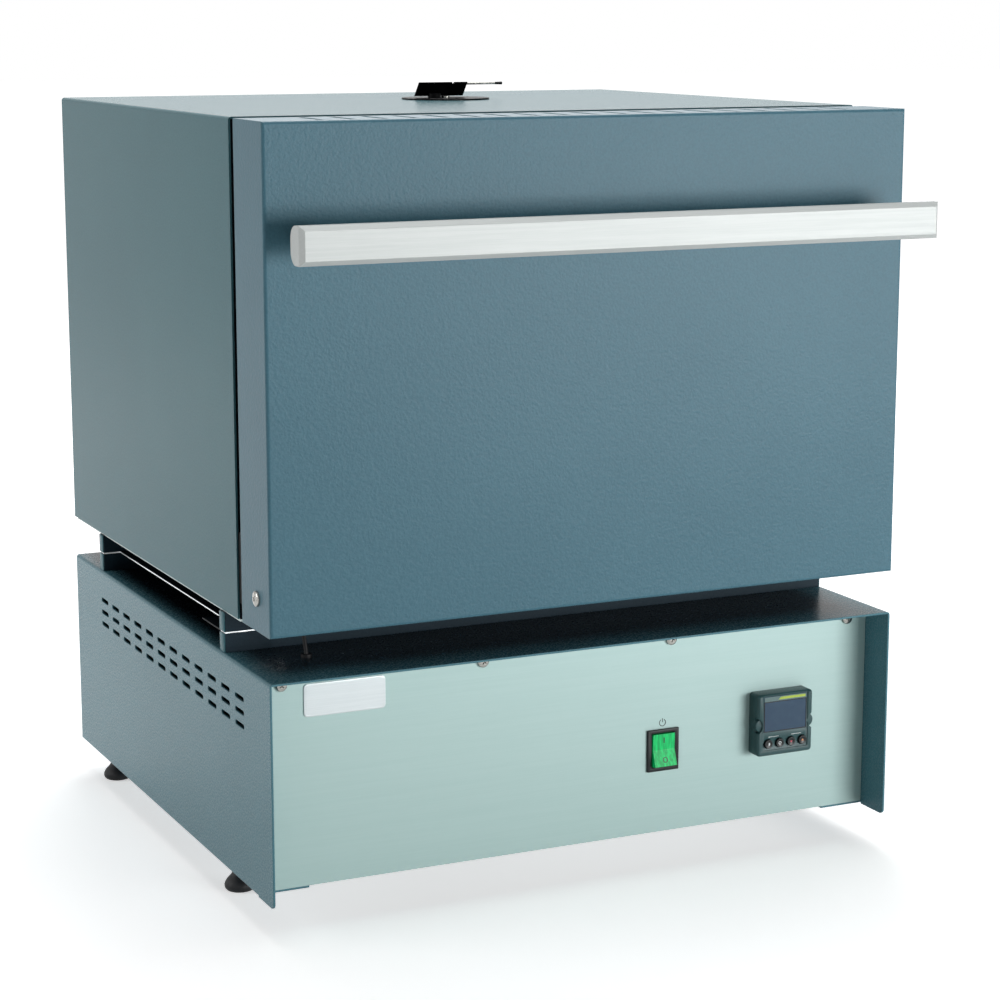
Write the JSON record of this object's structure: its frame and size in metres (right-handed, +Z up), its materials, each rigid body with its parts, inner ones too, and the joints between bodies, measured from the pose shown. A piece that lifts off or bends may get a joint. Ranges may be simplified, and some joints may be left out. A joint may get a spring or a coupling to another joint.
{
  "type": "kiln for pottery",
  "caption": "Bench-top electric muffle furnace: insulated chamber with a drop-down door and flue damper on a wide control base.",
  "frame": {"origin": "middle of the outer box, on the floor under the feet", "axes": "+X to the right, +Y to the rear (the door faces -Y), +Z up"},
  "size_m": [0.504, 0.529, 0.5781],
  "materials": {
    "cabinet_paint": "satin",
    "panel_paint": "satin",
    "door_paint": "satin",
    "zinc_sheet": "satin",
    "bright_sheet": "satin",
    "bright_screw": "gloss",
    "badge_metal": "satin",
    "black_plastic": "matte",
    "green_lens": "gloss",
    "controller_grey": "satin",
    "display_lens": "gloss",
    "black_key": "satin",
    "black_rubber": "matte",
    "sink_metal": "satin",
    "relay_body": "matte",
    "terminal_plastic": "matte",
    "fibre_board": "matte",
    "seal_fibre": "matte",
    "coil_wire": "satin",
    "hearth_ceramic": "matte",
    "probe_sheath": "matte",
    "black_metal": "satin",
    "handle_metal": "satin",
    "pale_plastic": "satin",
    "black_sleeve": "matte"
  },
  "bodies": {
    "furnace": {"base_cover": "cabinet_paint", "base_floor": "zinc_sheet", "base_back_panel": "cabinet_paint", "control_panel": "panel_paint", "panel_screws": "bright_screw", "badge_plate": "badge_metal", "switch_frame": "black_plastic", "controller_case": "controller_grey", "controller_screen": "display_lens", "foot_front_left": "black_rubber", "foot_front_right": "black_rubber", "foot_rear_left": "black_rubber", "foot_rear_right": "black_rubber", "relay_heat_sink": "sink_metal", "solid_state_relay": "relay_body", "terminal_block": "terminal_plastic", "cord_gland": "black_plastic", "front_riser": "cabinet_paint", "rear_riser": "cabinet_paint", "heat_shield": "bright_sheet", "front_bearer": "cabinet_paint", "rear_bearer": "cabinet_paint", "channel_bolts": "bright_screw", "cabinet_wrapper": "cabinet_paint", "cabinet_floor_pan": "cabinet_paint", "cabinet_back_panel": "cabinet_paint", "rear_screws": "bright_screw", "mouth_frame": "bright_sheet", "insulation_floor": "fibre_board", "insulation_roof": "fibre_board", "flue_block": "fibre_board", "insulation_left": "fibre_board", "insulation_right": "fibre_board", "insulation_back": "fibre_board", "heating_element_left": "coil_wire", "heating_element_right": "coil_wire", "hearth_plate": "hearth_ceramic", "thermocouple": "probe_sheath", "flue_tube": "hearth_ceramic", "damper_pivot": "bright_screw", "hinge_bracket_left": "bright_sheet", "hinge_bracket_right": "bright_sheet", "pivot_screws": "bright_screw", "door_switch": "black_plastic", "switch_lead": "black_sleeve"},
    "door": {"door_pan": "door_paint", "door_liner": "bright_sheet", "door_insulation": "fibre_board", "door_gasket": "seal_fibre", "stop_pins": "bright_screw", "handle_bar": "handle_metal", "handle_posts": "black_metal"},
    "rocker": {"power_rocker": "green_lens"},
    "button_1": {"controller_button_1": "black_key"},
    "button_2": {"controller_button_2": "black_key"},
    "button_3": {"controller_button_3": "black_key"},
    "button_4": {"controller_button_4": "black_key"},
    "damper": {"damper_disc": "bright_sheet", "damper_grip": "black_metal"},
    "plunger": {"door_switch_plunger": "pale_plastic"}
  },
  "joints": [
    {"name": "door_hinge", "type": "hinge", "parent": "furnace", "child": "door", "pos_m": [0, -0.1852, 0.2413], "axis": [1, 0, 0], "range_deg": [0, 90]},
    {"name": "rocker_switch", "type": "hinge", "parent": "furnace", "child": "rocker", "pos_m": [0.0708, -0.1784, 0.0922], "axis": [1, 0, 0], "range_deg": [0, 18]},
    {"name": "button_1_press", "type": "slide", "parent": "furnace", "child": "button_1", "axis": [0, 1, 0], "range_m": [0, 0.0008], "stiffness_N_per_m": 300, "springref_m": -0.0005},
    {"name": "button_2_press", "type": "slide", "parent": "furnace", "child": "button_2", "axis": [0, 1, 0], "range_m": [0, 0.0008], "stiffness_N_per_m": 300, "springref_m": -0.0005},
    {"name": "button_3_press", "type": "slide", "parent": "furnace", "child": "button_3", "axis": [0, 1, 0], "range_m": [0, 0.0008], "stiffness_N_per_m": 300, "springref_m": -0.0005},
    {"name": "button_4_press", "type": "slide", "parent": "furnace", "child": "button_4", "axis": [0, 1, 0], "range_m": [0, 0.0008], "stiffness_N_per_m": 300, "springref_m": -0.0005},
    {"name": "damper_turn", "type": "hinge", "parent": "furnace", "child": "damper", "pos_m": [0.02, 0.1, 0.5645], "axis": [0, 0, -1], "range_deg": [0, 90]},
    {"name": "plunger_slide", "type": "slide", "parent": "furnace", "child": "plunger", "axis": [0, -1, 0], "range_m": [0, 0.004]}
  ],
  "couplings": [
    {"joint": "plunger_slide", "follows": "door_hinge", "m_per_rad": 0.00254}
  ]
}
